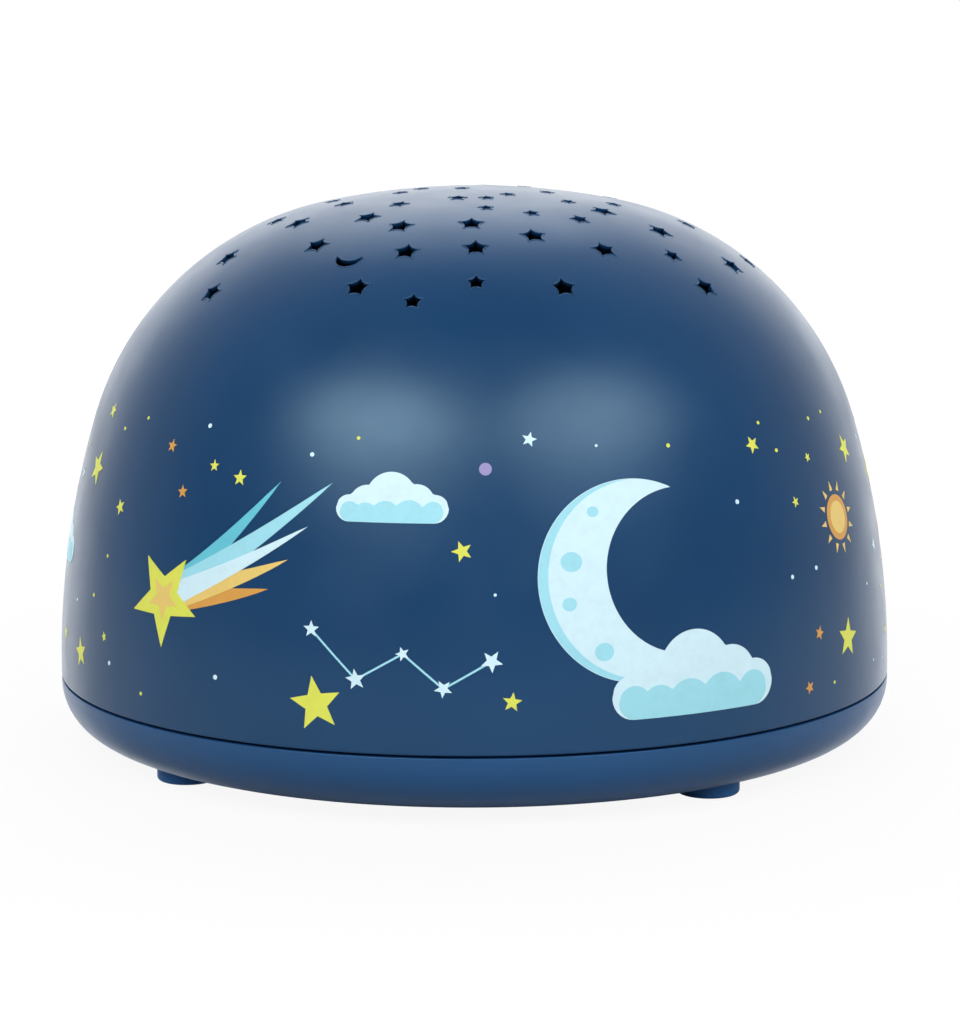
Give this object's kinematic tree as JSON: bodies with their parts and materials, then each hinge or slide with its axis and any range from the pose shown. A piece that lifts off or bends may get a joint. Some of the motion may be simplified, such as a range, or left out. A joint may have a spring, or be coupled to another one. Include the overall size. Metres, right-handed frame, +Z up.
{
  "type": "star projector night light",
  "caption": "Domed navy night light with star-shaped holes that throw its lamp's light on walls and ceiling, on a shallow footed base with a rear button and battery door.",
  "frame": {"origin": "centre of the lamp on the surface that its feet stand on", "axes": "+Z up along the dome's axis, -Y towards the front, +Y towards the button and the power inlet"},
  "size_m": [0.14, 0.14, 0.0924],
  "materials": {
    "navy_shell": "satin moulded plastic",
    "navy_rubber": "matte rubber",
    "screw_steel": "zinc-plated steel",
    "contact_nickel": "nickel-plated spring steel",
    "cell_jacket": "printed film over a can, plain",
    "deck_plastic": "white moulded plastic",
    "led_board_white": "white solder mask on aluminium",
    "led_yellow": "phosphor in a ceramic base",
    "lens_clear": "clear moulded lens",
    "board_green": "solder mask",
    "chip_black": "moulded epoxy",
    "can_aluminium": "drawn can",
    "switch_black": "moulded plastic",
    "usb_steel": "drawn sheet steel",
    "wire_red": "extruded insulation",
    "wire_black": "extruded insulation"
  },
  "bodies": {
    "lamp": {"dome_shell": "navy_shell", "base_shell": "navy_shell", "foot_front_left": "navy_rubber", "foot_front_right": "navy_rubber", "foot_rear_left": "navy_rubber", "foot_rear_right": "navy_rubber", "casing_screws": "screw_steel", "battery_front": "cell_jacket", "battery_middle": "cell_jacket", "battery_rear": "cell_jacket", "battery_springs": "contact_nickel", "contact_negative": "contact_nickel", "contact_positive": "contact_nickel", "contact_bridge_left": "contact_nickel", "contact_bridge_right": "contact_nickel", "led_deck": "deck_plastic", "deck_screws": "screw_steel", "led_board": "led_board_white", "led_board_screws": "screw_steel", "led_emitter": "led_yellow", "led_lens": "lens_clear", "main_board": "board_green", "board_screws": "screw_steel", "control_chip": "chip_black", "capacitor": "can_aluminium", "switch_body": "switch_black", "usb_socket": "usb_steel", "led_wire_red": "wire_red", "led_wire_black": "wire_black", "battery_wire_red": "wire_red", "battery_wire_black": "wire_black"},
    "button": {"power_button": "navy_shell", "switch_plunger": "switch_black"},
    "door": {"battery_door": "navy_shell"},
    "screw": {"door_screw": "screw_steel"}
  },
  "joints": [
    {"name": "button_press", "type": "slide", "parent": "lamp", "child": "button", "axis": [0, -1, 0], "range_m": [0, 0.0008], "stiffness_N_per_m": 2500},
    {"name": "door_swing", "type": "hinge", "parent": "lamp", "child": "door", "pos_m": [0, -0.025, 0.0026], "axis": [-1, 0, 0], "range_deg": [0, 75]},
    {"name": "door_screw_turn", "type": "hinge", "parent": "door", "child": "screw", "pos_m": [0, 0.0268, 0.0047], "axis": [0, 0, -1], "continuous": true}
  ]
}
